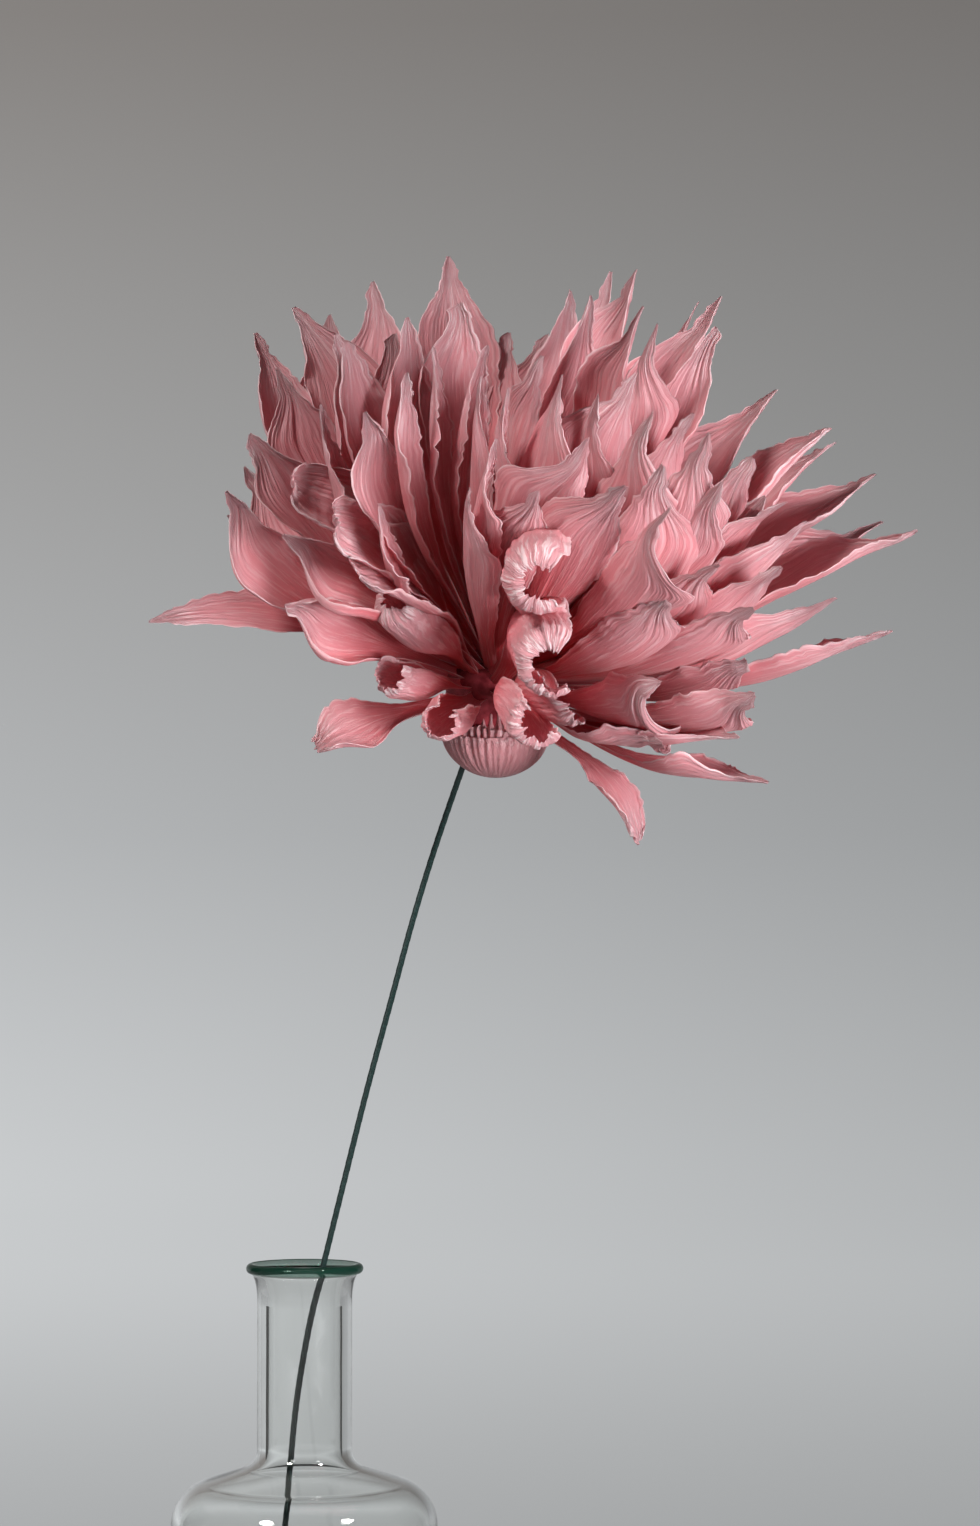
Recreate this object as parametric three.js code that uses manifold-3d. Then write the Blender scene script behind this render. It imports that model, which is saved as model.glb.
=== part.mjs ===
// A crepe-paper dahlia on a wrapped wire stem, standing in a clear glass bottle vase.
// Millimetres, +Z up. The origin is the middle of the vase's flat base, and +X is the way the stem leans.
import * as THREE from "three";
import { mergeVertices } from "three/addons/utils/BufferGeometryUtils.js";
import Module from "manifold-3d";

// ---- vase ----
const VASE_HEIGHT = 130;
const BODY_RADIUS = 34.5;
const NECK_RADIUS = 12.3;
const LIP_RADIUS = 15.2; // outer edge of the bead at the mouth
const LIP_BEAD = 1.3; // half the bead's thickness
const NECK_WALL = 3;
const BODY_WALL = 2.2;
const BASE_THICKNESS = 6;
const SHOULDER_FALL = 2.5; // drop of the shoulder's cone, between its two round bends
const SHOULDER_ROUND = 12;
const SHOULDER_SLOPE = 20; // degrees, of the cone between the shoulder's round and the neck's fillet
const NECK_FILLET = 5;
const BODY_HEIGHT = 62.5; // base to the start of the shoulder's round
const FOOT_ROUND = 6;
const VASE_FACETS = 36;
const ARC_STEPS = 3; // half the facets of each round bend in the profile

// ---- stem ----
const WIRE_RADIUS = 0.8;
const CLEARANCE = 0.3; // between pieces that rest on or sit in each other

// ---- flower head ----
const HEAD_REACH = 48; // +X, -Y and up from the vase's mouth to the point that all petals spread from
const HEAD_FORWARD = 32;
const HEAD_RISE = 147;
const LEAN_RIGHT = 20; // degrees, of the head's axis from upright towards +X
const LEAN_FORWARD = 28; // degrees, of the head's axis towards -Y
const CORE_RADIUS = 11.5;
const CALYX_OFFSET = new THREE.Vector2(1.5, 1); // X and Y of the calyx's rim from the head centre
const CALYX_SEAT = 1; // how far the calyx's rim stands above the bottom of the core's ball
const CALYX_TILT = 10; // degrees, of the calyx's axis from upright towards -Y
const CALYX_RADIUS = 13.7;
const CALYX_DEPTH = 11.5; // rim to the bottom of the cup
const CALYX_WALL = 0.9;
const WIRE_END = 5; // distance of the wire's top end below the head centre

// ---- petals ----
const PAPER = 0.6; // two glued layers of crepe
const PETAL_FOOT = 3.6; // width where a petal is glued on
const PETAL_POINT = 1; // width at the tip
const WIDEST = 0.77; // share of a petal's length from its foot to its widest place
const FULL_REACH = 112; // reach of a petal that has its row's whole width; a shorter one is narrower
const ACROSS = 3; // facets across and along each petal
const ALONG = 7;
// Angle from straight down, at the head centre, to the calyx's rim: a drooping petal passes over that rim.
const RIM_ANGLE = THREE.MathUtils.radToDeg(Math.atan2(CALYX_RADIUS, CORE_RADIUS - CALYX_SEAT));
// Rows from the middle of the flower outwards. Each petal is [tilt from the head's axis, azimuth round
// it, reach from the head centre to the tip]; azimuth 0 is on the +X side and 270 faces -Y.
const ROWS = [
  {
    row: "crown",
    width: 17,
    cup: 42,
    bend: 10,
    petals: [
      [6, 60, 107],
      [14, 110, 103],
      [13, 205, 96],
      [15, 292, 101],
      [18, 20, 107],
    ],
  },
  {
    row: "upper",
    width: 20,
    cup: 44,
    bend: 12,
    petals: [
      [23, 82, 112],
      [30, 46, 116],
      [27, 142, 98],
      [26, 186, 96],
      [25, 229, 97],
      [27, 272, 101],
      [27, 312, 105],
      [28, 352, 98],
    ],
  },
  {
    row: "middle",
    width: 23,
    cup: 44,
    bend: 13,
    petals: [
      [37, 14, 108],
      [43, 70, 119],
      [38, 96, 114],
      [42, 142, 98],
      [39, 170, 98],
      [39, 204, 93],
      [37, 238, 95],
      [36, 276, 106],
      [40, 306, 95],
      [38, 338, 98],
    ],
  },
  {
    row: "outer",
    width: 24,
    cup: 46,
    bend: 14,
    petals: [
      [54, 10, 115],
      [51, 34, 113],
      [56, 56, 118],
      [54, 86, 117],
      [51, 112, 120],
      [54, 134, 113],
      [54, 162, 97],
      [51, 189, 86],
      [49, 213, 86],
      [52, 240, 80],
      [49, 292, 85],
      [50, 318, 92],
      [50, 346, 96],
    ],
  },
  {
    row: "lower",
    width: 24,
    cup: 48,
    bend: 15,
    petals: [
      [66, 33, 119],
      [69, 70, 112],
      [68, 110, 121],
      [68, 140, 117],
      [65, 180, 89],
      [64, 202, 77],
      [66, 226, 62],
      [62, 304, 70],
      [63, 328, 80],
      [62, 354, 103],
    ],
  },
  {
    row: "rolled",
    width: 17,
    cup: 95,
    bend: 22,
    petals: [
      [77, 249, 47],
      [66, 274, 56],
      [77, 216, 64],
    ],
  },
  {
    row: "lowest",
    width: 18,
    cup: 40,
    bend: 6,
    petals: [
      [80, 330, 79],
      [84, 58, 100],
      [85, 104, 100],
      [84, 152, 96],
    ],
  },
  {
    row: "stray",
    width: 19,
    cup: 34,
    bend: -26,
    petals: [[93, 184, 88]],
  },
  {
    row: "drooping",
    width: 14,
    cup: 34,
    bend: -10,
    petals: [
      [150 - RIM_ANGLE, 319, 57],
      [162 - RIM_ANGLE, 212, 48],
    ],
  },
];

const radians = THREE.MathUtils.degToRad;
const wasm = await Module();
wasm.setup();

const headCentre = new THREE.Vector3(HEAD_REACH, -HEAD_FORWARD, VASE_HEIGHT + HEAD_RISE);
const calyxDrop = CORE_RADIUS - CALYX_SEAT;
const calyxCentre = headCentre.clone().add(new THREE.Vector3(CALYX_OFFSET.x, CALYX_OFFSET.y, -calyxDrop));

const glass = new THREE.MeshStandardMaterial({
  color: 0xdfe8e4,
  roughness: 0.05,
  metalness: 0,
  transparent: true,
  opacity: 0.35,
});
const wrappedWire = new THREE.MeshStandardMaterial({ color: 0x1f2f2c, roughness: 0.6, metalness: 0 });
const crepe = new THREE.MeshStandardMaterial({ color: 0xd58c93, roughness: 0.85, metalness: 0 });
const paperPulp = new THREE.MeshStandardMaterial({ color: 0x9c3a44, roughness: 0.9, metalness: 0 });

// The head's axis, and the two directions that azimuth turns between.
function headFrame() {
  const right = radians(LEAN_RIGHT);
  const forward = radians(LEAN_FORWARD);
  const axis = new THREE.Vector3(
    Math.sin(right) * Math.cos(forward),
    -Math.sin(forward),
    Math.cos(right) * Math.cos(forward),
  );
  const side = new THREE.Vector3(1, 0, 0).addScaledVector(axis, -axis.x).normalize();
  return { axis, side, back: new THREE.Vector3().crossVectors(axis, side) };
}

const { axis: headAxis, side: headSide, back: headBack } = headFrame();

function named(name, geometry, material) {
  const mesh = new THREE.Mesh(geometry, material);
  mesh.name = name;
  return mesh;
}

// One side of the vase's profile, foot to lip: radii at each stretch, with arcs for its round bends.
function vaseSide(inset, footRound, floor, path) {
  const body = BODY_RADIUS - inset.body;
  const neck = NECK_RADIUS - inset.neck;
  const roundOver = SHOULDER_ROUND - inset.body;
  const fillet = NECK_FILLET + inset.neck;
  const shoulderFoot = BODY_HEIGHT;
  const coneTop = shoulderFoot + roundOver + SHOULDER_FALL;
  path.lineTo(body - footRound, floor);
  path.absarc(body - footRound, floor + footRound, footRound, -Math.PI / 2, 0, false);
  path.lineTo(body, shoulderFoot);
  path.absarc(body - roundOver, shoulderFoot, roundOver, 0, radians(90 - SHOULDER_SLOPE), false);
  path.absarc(neck + fillet, coneTop + fillet, fillet, radians(-90 - SHOULDER_SLOPE), -Math.PI, true);
  return path;
}

function makeVase() {
  const beadZ = VASE_HEIGHT - LIP_BEAD;
  const beadR = LIP_RADIUS - LIP_BEAD;
  const flareFoot = VASE_HEIGHT - 9;
  const outer = vaseSide({ body: 0, neck: 0 }, FOOT_ROUND, 0, new THREE.Path().moveTo(0, 0));
  outer.lineTo(NECK_RADIUS, flareFoot);
  outer.quadraticCurveTo(NECK_RADIUS + 0.2, beadZ - 2.6, beadR, beadZ - LIP_BEAD);
  outer.absarc(beadR, beadZ, LIP_BEAD, -Math.PI / 2, Math.PI / 2, false);
  const inset = { body: BODY_WALL, neck: NECK_WALL };
  const inner = vaseSide(inset, FOOT_ROUND - BODY_WALL, BASE_THICKNESS, new THREE.Path().moveTo(0, BASE_THICKNESS));
  inner.lineTo(NECK_RADIUS - NECK_WALL, flareFoot - 2);
  inner.quadraticCurveTo(NECK_RADIUS - NECK_WALL + 0.4, beadZ - 1, beadR, VASE_HEIGHT);
  const profile = [...outer.getPoints(ARC_STEPS), ...inner.getPoints(ARC_STEPS).reverse()];
  return named("vase", uprightLathe(profile, VASE_FACETS), glass);
}

// A LatheGeometry turned so that its axis is +Z, from points of (radius, height).
function uprightLathe(points, segments) {
  return new THREE.LatheGeometry(points, segments).rotateX(Math.PI / 2);
}

// A point of the stem inside the neck, as shares of the room that the wire has there.
function inNeck(shareX, shareY, z) {
  const room = NECK_RADIUS - NECK_WALL - WIRE_RADIUS - CLEARANCE;
  return new THREE.Vector3(shareX * room, shareY * room, z);
}

// The stem's line: from the vase's floor up the neck, over the lip, and along the head's axis into the core.
function stemLine() {
  const onAxis = (below) => headCentre.clone().addScaledVector(headAxis, -below);
  const aboveLip = (x, y, rise) => new THREE.Vector3(x, y, VASE_HEIGHT + rise);
  const calyxBottom = calyxDrop + CALYX_DEPTH;
  return new THREE.CatmullRomCurve3([
    new THREE.Vector3(-10.5, 12, BASE_THICKNESS + CLEARANCE),
    new THREE.Vector3(-7.5, 6.5, BODY_HEIGHT * 0.6),
    new THREE.Vector3(-4.5, 0.5, BODY_HEIGHT + 5.5),
    inNeck(-0.39, -0.24, VASE_HEIGHT - 48),
    inNeck(-0.18, -0.56, VASE_HEIGHT - 33),
    inNeck(0.26, -0.92, VASE_HEIGHT - 12),
    inNeck(0.62, -1.05, VASE_HEIGHT),
    aboveLip(10.3, -9.6, 21),
    aboveLip(16.3, -10.4, 45),
    aboveLip(22.5, -11, 68),
    aboveLip(28.2, -11.8, 89),
    aboveLip(33.4, -13.2, 106),
    onAxis(calyxBottom + 7),
    onAxis(calyxBottom),
    onAxis(WIRE_END + 8),
    onAxis(WIRE_END),
  ]);
}

function makeStem() {
  const section = new THREE.Shape().absarc(0, 0, WIRE_RADIUS, 0, 2 * Math.PI, false);
  const geometry = new THREE.ExtrudeGeometry(section, {
    steps: 48,
    curveSegments: 5,
    extrudePath: stemLine(),
  });
  return named("stem_wire", geometry, wrappedWire);
}

// A closed mesh as a manifold solid, for the booleans below.
function solidOf(geometry) {
  const bare = geometry.clone();
  bare.deleteAttribute("normal");
  bare.deleteAttribute("uv");
  const merged = mergeVertices(bare, 1e-3);
  const vertProperties = merged.getAttribute("position").array;
  const triVerts = new Uint32Array(merged.index.array);
  return new wasm.Manifold(new wasm.Mesh({ numProp: 3, vertProperties, triVerts }));
}

function geometryOf(solid) {
  const { vertProperties, triVerts } = solid.getMesh();
  return new THREE.BufferGeometry()
    .setAttribute("position", new THREE.BufferAttribute(vertProperties, 3))
    .setIndex(new THREE.BufferAttribute(triVerts, 1));
}

// The round hole that the wire's top sits in, with clearance all round and above its end.
function wireHole() {
  const length = 40;
  const hole = new THREE.CylinderGeometry(WIRE_RADIUS + CLEARANCE, WIRE_RADIUS + CLEARANCE, length, 10);
  hole.applyQuaternion(new THREE.Quaternion().setFromUnitVectors(new THREE.Vector3(0, 1, 0), headAxis));
  const middle = headCentre.clone().addScaledVector(headAxis, CLEARANCE - WIRE_END - length / 2);
  return solidOf(hole.translate(middle.x, middle.y, middle.z));
}

// A lathe made about its own +Y, tilted with the calyx and set at the middle of its rim.
function onCalyx(geometry) {
  geometry.rotateX(Math.PI / 2 + radians(CALYX_TILT));
  return geometry.translate(calyxCentre.x, calyxCentre.y, calyxCentre.z);
}

// Points down a half-ellipse from its rim, on the axis's right, to its bottom.
function bowl(radius, depth, steps) {
  return Array.from({ length: steps + 1 }, (_, step) => {
    const turn = (Math.PI / 2) * (step / steps);
    return new THREE.Vector2(radius * Math.sin(turn), -depth * Math.cos(turn));
  });
}

// The pulp core: a ball that the petals are glued on, joined to a plug that fills the calyx.
function makeCore() {
  const ball = new THREE.SphereGeometry(CORE_RADIUS, 18, 12);
  ball.translate(headCentre.x, headCentre.y, headCentre.z);
  const inset = CALYX_WALL + CLEARANCE;
  const plugSide = bowl(CALYX_RADIUS - inset, CALYX_DEPTH - inset, 6);
  const plug = new THREE.LatheGeometry([...plugSide, new THREE.Vector2(0, 4)], 18);
  const joined = solidOf(ball).add(solidOf(onCalyx(plug))).subtract(wireHole());
  return named("core", geometryOf(joined), paperPulp);
}

// The paper cup under the petals: a thin bowl round the core's plug, open at the top, with a wire hole.
function makeCalyx() {
  const outside = bowl(CALYX_RADIUS, CALYX_DEPTH, 8);
  const inside = bowl(CALYX_RADIUS - CALYX_WALL, CALYX_DEPTH - CALYX_WALL, 8).reverse();
  const cup = new THREE.LatheGeometry([...outside, ...inside], 24);
  return named("calyx", geometryOf(solidOf(onCalyx(cup)).subtract(wireHole())), crepe);
}

// A petal's half-width at a share of its length: a narrow foot, a broad blade and a drawn-out point.
function halfWidth(share, width) {
  if (share < WIDEST) {
    const rise = THREE.MathUtils.smoothstep(share, 0, WIDEST) ** 1.2;
    return THREE.MathUtils.lerp(PETAL_FOOT, width, rise) / 2;
  }
  const fall = THREE.MathUtils.smoothstep(share, WIDEST, 1);
  return THREE.MathUtils.lerp(width, PETAL_POINT, fall) / 2;
}

// A petal is a box bent to shape: its length follows an arc in the plane of the head's axis, its width
// wraps into a trough that opens towards that axis, and its thickness is the paper's.
function makePetal(name, row, [tilt, azimuth, reach]) {
  const width = row.width * Math.min(1, reach / FULL_REACH);
  const outward = headSide
    .clone()
    .multiplyScalar(Math.cos(radians(azimuth)))
    .addScaledVector(headBack, Math.sin(radians(azimuth)));
  const along = headAxis
    .clone()
    .multiplyScalar(Math.cos(radians(tilt)))
    .addScaledVector(outward, Math.sin(radians(tilt)));
  const inward = headAxis
    .clone()
    .multiplyScalar(Math.sin(radians(tilt)))
    .addScaledVector(outward, -Math.cos(radians(tilt)));
  const sideways = new THREE.Vector3().crossVectors(along, inward);
  const foot = CORE_RADIUS + CLEARANCE + PAPER;
  const bend = radians(row.bend);
  const length = ((reach - foot) * (bend / 2)) / Math.sin(bend / 2);
  const cup = radians(row.cup);
  const geometry = new THREE.BoxGeometry(2, 1, PAPER, ACROSS, ALONG, 1);
  const places = geometry.getAttribute("position");
  for (let i = 0; i < places.count; i++) {
    const share = places.getY(i) + 0.5;
    const turn = bend * (share - 0.5);
    const wrap = cup * places.getX(i);
    const arm = halfWidth(share, width) / cup - places.getZ(i);
    const forward = foot + (length / bend) * (Math.sin(turn) + Math.sin(bend / 2));
    const risen = (length / bend) * (Math.cos(bend / 2) - Math.cos(turn));
    const cupped = halfWidth(share, width) / cup - arm * Math.cos(wrap);
    const point = headCentre.clone()
      .addScaledVector(along, forward - cupped * Math.sin(turn))
      .addScaledVector(inward, risen + cupped * Math.cos(turn))
      .addScaledVector(sideways, arm * Math.sin(wrap));
    places.setXYZ(i, point.x, point.y, point.z);
  }
  return named(name, geometry, crepe);
}

const dahlia = new THREE.Group();
dahlia.add(makeVase(), makeStem(), makeCore(), makeCalyx());
for (const row of ROWS) {
  row.petals.forEach((petal, i) => dahlia.add(makePetal(`${row.row}_petal_${i + 1}`, row, petal)));
}

export default dahlia;
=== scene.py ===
"""A crepe-paper dahlia on a wrapped wire, in a clear glass bottle vase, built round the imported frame."""
import math

import bmesh
import bpy
import numpy as np
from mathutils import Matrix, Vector


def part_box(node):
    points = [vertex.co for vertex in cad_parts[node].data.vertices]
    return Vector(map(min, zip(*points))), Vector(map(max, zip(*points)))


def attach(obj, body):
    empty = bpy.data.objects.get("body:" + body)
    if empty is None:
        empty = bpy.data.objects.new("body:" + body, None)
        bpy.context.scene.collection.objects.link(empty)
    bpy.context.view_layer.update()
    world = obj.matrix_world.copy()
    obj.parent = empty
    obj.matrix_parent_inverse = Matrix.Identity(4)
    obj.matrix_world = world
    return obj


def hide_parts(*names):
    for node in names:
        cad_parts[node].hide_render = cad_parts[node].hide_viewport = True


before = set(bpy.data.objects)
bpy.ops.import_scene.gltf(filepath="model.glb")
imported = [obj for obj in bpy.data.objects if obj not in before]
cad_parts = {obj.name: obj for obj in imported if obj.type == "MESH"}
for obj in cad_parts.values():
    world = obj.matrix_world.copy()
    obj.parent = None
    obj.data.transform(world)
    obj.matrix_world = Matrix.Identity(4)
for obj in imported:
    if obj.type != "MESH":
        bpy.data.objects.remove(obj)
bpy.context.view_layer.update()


# ---- camera ----
# A long lens, level with the middle of the flower and looking very slightly up, so that the vase runs out
# of the lower edge of the view.
camera_data = bpy.data.cameras.new("camera")
camera_data.lens = 99.8
camera = bpy.data.objects.new("camera", camera_data)
bpy.context.collection.objects.link(camera)
CAMERA_PLACE = np.array([0.048, -1.1, 0.222])
CAMERA_AIM = np.array([0.048, 0.0, 0.2597])
camera.location = CAMERA_PLACE
CAMERA_RISE = math.atan2(CAMERA_AIM[2] - CAMERA_PLACE[2], -CAMERA_PLACE[1])
camera.rotation_euler = (math.pi / 2 + CAMERA_RISE, 0, 0)
bpy.context.scene.camera = camera
bpy.context.scene.view_settings.view_transform = "Standard"


# ---- backdrop and lights ----
# A round sweep of pale grey paper, a level floor that turns up into a wall, gives off a little light. One
# window stands high at the front left, and one at the front right lights only gloss and glass. A low lamp at
# the front right fills the shadows, and a weak one stands behind on the left.
class Shade:
    """A socket in a material's node tree. + - * between these, or with numbers, add Math nodes."""

    def __init__(self, tree, socket=None):
        self.tree = tree
        self.socket = socket

    def make(self, kind, settings, sockets, output=0):
        """Adds a node: its settings first, then its sockets' values or links. Gives one of its outputs."""
        node = self.tree.nodes.new(kind)
        for name, value in settings.items():
            if name == "stops":
                ramp = node.color_ramp.elements
                ramp[0].position, ramp[1].position = value[0][0], value[-1][0]
                ramp[0].color, ramp[1].color = (*value[0][1], 1), (*value[-1][1], 1)
                for place, colour in value[1:-1]:
                    ramp.new(place).color = (*colour, 1)
            else:
                setattr(node, name, value)
        for name, value in sockets.items():
            if isinstance(value, Shade):
                self.tree.links.new(value.socket, node.inputs[name])
            else:
                node.inputs[name].default_value = value
        return Shade(self.tree, node.outputs[output] if node.outputs else None)

    def maths(self, operation, first, second):
        return self.make("ShaderNodeMath", {"operation": operation}, {0: first, 1: second})

    def __add__(self, other):
        return self.maths("ADD", self, other)

    def __sub__(self, other):
        return self.maths("SUBTRACT", self, other)

    def __rsub__(self, other):
        return self.maths("SUBTRACT", other, self)

    def __mul__(self, other):
        return self.maths("MULTIPLY", self, other)

    __radd__ = __add__
    __rmul__ = __mul__

    def between(self, low, high):
        """0 below low, 1 above high and eased between them."""
        sockets = {"Value": self, "From Min": low, "From Max": high}
        return self.make("ShaderNodeMapRange", {"interpolation_type": "SMOOTHSTEP"}, sockets)

    def mix(self, first, second):
        """A colour: first where this value is 0 and second where it is 1."""
        sockets = {"Factor": self, 6: first, 7: second}
        return self.make("ShaderNodeMix", {"data_type": "RGBA"}, sockets, output=2)


def new_material(name):
    material = bpy.data.materials.new(name)
    material.use_nodes = True
    material.node_tree.nodes.clear()
    return material, Shade(material.node_tree)


def axis_of(shade, vector, axis):
    return shade.make("ShaderNodeSeparateXYZ", {}, {0: vector}, output="XYZ".index(axis))


def surface(name, points, uv, material):
    """A mesh from a grid of points, rows by columns. Neighbours in the grid are joined by four-sided faces,
    and points at the same place are welded, which closes seams, poles and ends. If the volume that the
    faces enclose comes out negative, all of them are turned round, so that they point outwards."""
    rows, columns = points.shape[:2]
    corner = np.arange(rows * columns).reshape(rows, columns)
    faces = np.stack([corner[:-1, :-1], corner[:-1, 1:], corner[1:, 1:], corner[1:, :-1]], -1)
    faces = faces.reshape(-1, 4)
    flat = points.reshape(-1, 3)
    a, b, c, d = (flat[faces[:, i]] for i in range(4))
    if np.sum(np.cross(c - a, d - b) * (a + b + c + d)) < 0:
        faces = faces[:, ::-1]
    mesh = bpy.data.meshes.new(name)
    mesh.from_pydata(flat, [], faces)
    layer = mesh.uv_layers.new(name="paper")
    layer.data.foreach_set("uv", uv.reshape(-1, 2)[faces.ravel()].astype(np.float32).ravel())
    weld = bmesh.new()
    weld.from_mesh(mesh)
    bmesh.ops.remove_doubles(weld, verts=weld.verts, dist=1e-7)
    bmesh.ops.dissolve_degenerate(weld, edges=weld.edges, dist=1e-8)
    weld.to_mesh(mesh)
    weld.free()
    mesh.polygons.foreach_set("use_smooth", np.ones(len(mesh.polygons), bool))
    mesh.materials.append(material)
    piece = bpy.data.objects.new(name, mesh)
    bpy.context.collection.objects.link(piece)
    return piece


SWEEP_FLOOR = 2.2  # radius of the level part
SWEEP_ROUND = 0.8  # radius of the turn between floor and wall
SWEEP_TOP = 4.5
turn = np.linspace(0, math.pi / 2, 24)
sweep_radius = np.r_[np.linspace(1e-3, SWEEP_FLOOR, 12), SWEEP_FLOOR + SWEEP_ROUND * np.sin(turn)]
sweep_radius = np.r_[sweep_radius, sweep_radius[-1]]
sweep_height = np.r_[np.zeros(12), SWEEP_ROUND * (1 - np.cos(turn)), SWEEP_TOP]
around = np.linspace(0, 2 * math.pi, 97)
sweep = np.stack(
    [
        sweep_radius[:, None] * np.cos(around),
        sweep_radius[:, None] * np.sin(around),
        sweep_height[:, None] + 0 * around,
    ],
    -1,
)
sweep_paper, shade = new_material("sweep_paper")
place = shade.make("ShaderNodeTexCoord", {}, {}, output=3)
height = axis_of(shade, place, "Z")
GREYS = [
    # height, as a share of the range's, and the colour that the paper glows in there
    (0.0, (0.60, 0.618, 0.63)),
    (0.16, (0.435, 0.447, 0.457)),
    (0.34, (0.335, 0.335, 0.335)),
    (0.60, (0.205, 0.190, 0.180)),
    (1.0, (0.20, 0.19, 0.18)),
]
GREYS_PER_METRE = 0.55  # the range of greys runs over 1 / 0.55 metres of height
# Painted light: the paper's glow is graded, brighter low down, further back and further left, as light from
# the window at the left would fall on it.
grey = shade.make("ShaderNodeValToRGB", {"stops": GREYS}, {0: height * GREYS_PER_METRE})
behind = axis_of(shade, place, "Y").between(-0.6, 1.6)
left = 1.26 - axis_of(shade, place, "X").between(-1.2, 1.2) * 0.56
glowing = ((behind * 0.45 + 0.31) * left).mix((0, 0, 0, 1), grey)
glow = shade.make("ShaderNodeEmission", {}, {"Color": glowing, "Strength": 1.111})
matt = shade.make("ShaderNodeBsdfDiffuse", {}, {"Color": (0.11, 0.11, 0.11, 1)})
paper = shade.make("ShaderNodeAddShader", {}, {0: glow, 1: matt})
shade.make("ShaderNodeOutputMaterial", {}, {"Surface": paper})
backdrop = surface("backdrop", sweep, np.zeros((*sweep.shape[:2], 2)), sweep_paper)

LIGHTS = [
    # name, place, width, power, colour
    ("window", (-0.80, -1.10, 1.20), 0.34, 24.0, (1.0, 0.985, 0.96)),
    ("far_window", (1.05, -0.95, 1.35), 0.30, 26.0, (1.0, 0.99, 0.98)),
    ("skylight", (-0.6, 1.0, 1.3), 0.8, 3.0, (0.97, 0.985, 1.0)),
    ("bounce", (0.62, -0.66, 0.12), 0.4, 15.0, (0.97, 0.98, 1.0)),
]
FLOWER_MIDDLE = np.array([0.05, -0.05, 0.30])
for name, light_place, width, power, colour in LIGHTS:
    data = bpy.data.lights.new(name, "AREA")
    data.shape = "DISK"
    data.size = width
    data.energy = power
    data.color = colour
    light = bpy.data.objects.new(name, data)
    towards = Vector(FLOWER_MIDDLE - np.array(light_place))
    light.location = light_place
    light.rotation_euler = towards.to_track_quat("-Z", "Y").to_euler()
    light.visible_camera = False
    light.visible_diffuse = name != "far_window"
    light.visible_glossy = "window" in name
    light.visible_transmission = "window" in name
    bpy.context.collection.objects.link(light)

# Two dark cards stand behind the vase, each an upright arc round it, out of the view on the left and right.
# Only gloss and glass show them, as thin dark lines down the glass's edges.
CARD_DISTANCE = 0.7
CARD_HEIGHT = 0.5
dark_card, shade = new_material("dark_card")
dark = shade.make("ShaderNodeBsdfDiffuse", {}, {"Color": (0.05, 0.05, 0.047, 1)})
shade.make("ShaderNodeOutputMaterial", {}, {"Surface": dark})
for side in (-1, 1):
    across = np.radians(np.linspace(50, 82, 9))
    card = np.stack([side * np.sin(across), np.cos(across), 0 * across], -1) * CARD_DISTANCE
    card = card[None] + np.linspace(0.0, CARD_HEIGHT, 2)[:, None, None] * np.array([0, 0, 1.0])
    panel = surface("card_left" if side < 0 else "card_right", card, np.zeros((2, 9, 2)), dark_card)
    panel.visible_camera = False
    panel.visible_shadow = False
    panel.visible_diffuse = False


# ---- vase ----
# One piece of clear blown glass that stands loose: a flat foot, a round shoulder, a straight neck, a flare
# and a solid bead at the lip, which looks dark green because light runs a long way through it.
MM = 0.001
VASE_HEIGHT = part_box("vase")[1][2] / MM
BODY_RADIUS = 34.5
NECK_RADIUS = 12.3
LIP_RADIUS = 15.2
LIP_BEAD = 1.3
NECK_WALL = 3.0
BODY_WALL = 2.2
BASE_THICKNESS = 6.0
SHOULDER_FALL = 2.5
SHOULDER_ROUND = 12.0
SHOULDER_SLOPE = math.radians(20)
NECK_FILLET = 5.0
BODY_HEIGHT = 62.5
FOOT_ROUND = 6.0


def arc(radius, height, round_, start, end, steps=14):
    """Points on a circle's arc, as (radius, height): the circle's middle, its radius and two angles."""
    angle = np.linspace(math.radians(start), math.radians(end), steps)
    return np.stack([radius + round_ * np.cos(angle), height + round_ * np.sin(angle)], -1)


def vase_side(body, neck, round_, fillet, foot, floor):
    """The vase's profile up to its neck: a rounded foot, a straight side, a round shoulder, a short cone
    and the fillet that leads into the neck."""
    slope = math.degrees(SHOULDER_SLOPE)
    cone_top = BODY_HEIGHT + round_ + SHOULDER_FALL
    side = np.linspace(floor + foot, BODY_HEIGHT, 8)[1:-1]
    return np.concatenate(
        [
            [[0.0, floor]],
            arc(body - foot, floor + foot, foot, -90, 0),
            np.stack([np.full(6, body), side], -1),
            arc(body - round_, BODY_HEIGHT, round_, 0, 90 - slope),
            arc(neck + fillet, cone_top + fillet, fillet, -90 - slope, -180),
        ]
    )


def eased(start, control, end, steps=12):
    """A curve from start to end that heads for the control point first."""
    t = np.linspace(0, 1, steps)[:, None]
    start, control, end = (np.array(point) for point in (start, control, end))
    return (1 - t) ** 2 * start + 2 * t * (1 - t) * control + t**2 * end


def turned(profile, sides):
    """A grid of points: a profile of (radius, height) carried round the Z axis."""
    angle = np.linspace(0, 2 * math.pi, sides + 1)
    ring = np.stack([np.cos(angle), np.sin(angle)], -1)
    ring[-1] = ring[0]
    radius, height = profile[:, 0], profile[:, 1]
    flat = radius[:, None, None] * ring[None]
    return np.concatenate([flat, np.broadcast_to(height[:, None, None], (*flat.shape[:2], 1))], -1)


def flat_uv(points):
    """A map that spreads a grid's rows and columns evenly over 0 to 1."""
    rows, columns = points.shape[:2]
    across, along = np.meshgrid(np.linspace(0, 1, columns), np.linspace(0, 1, rows))
    return np.stack([across, along], -1)


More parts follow.
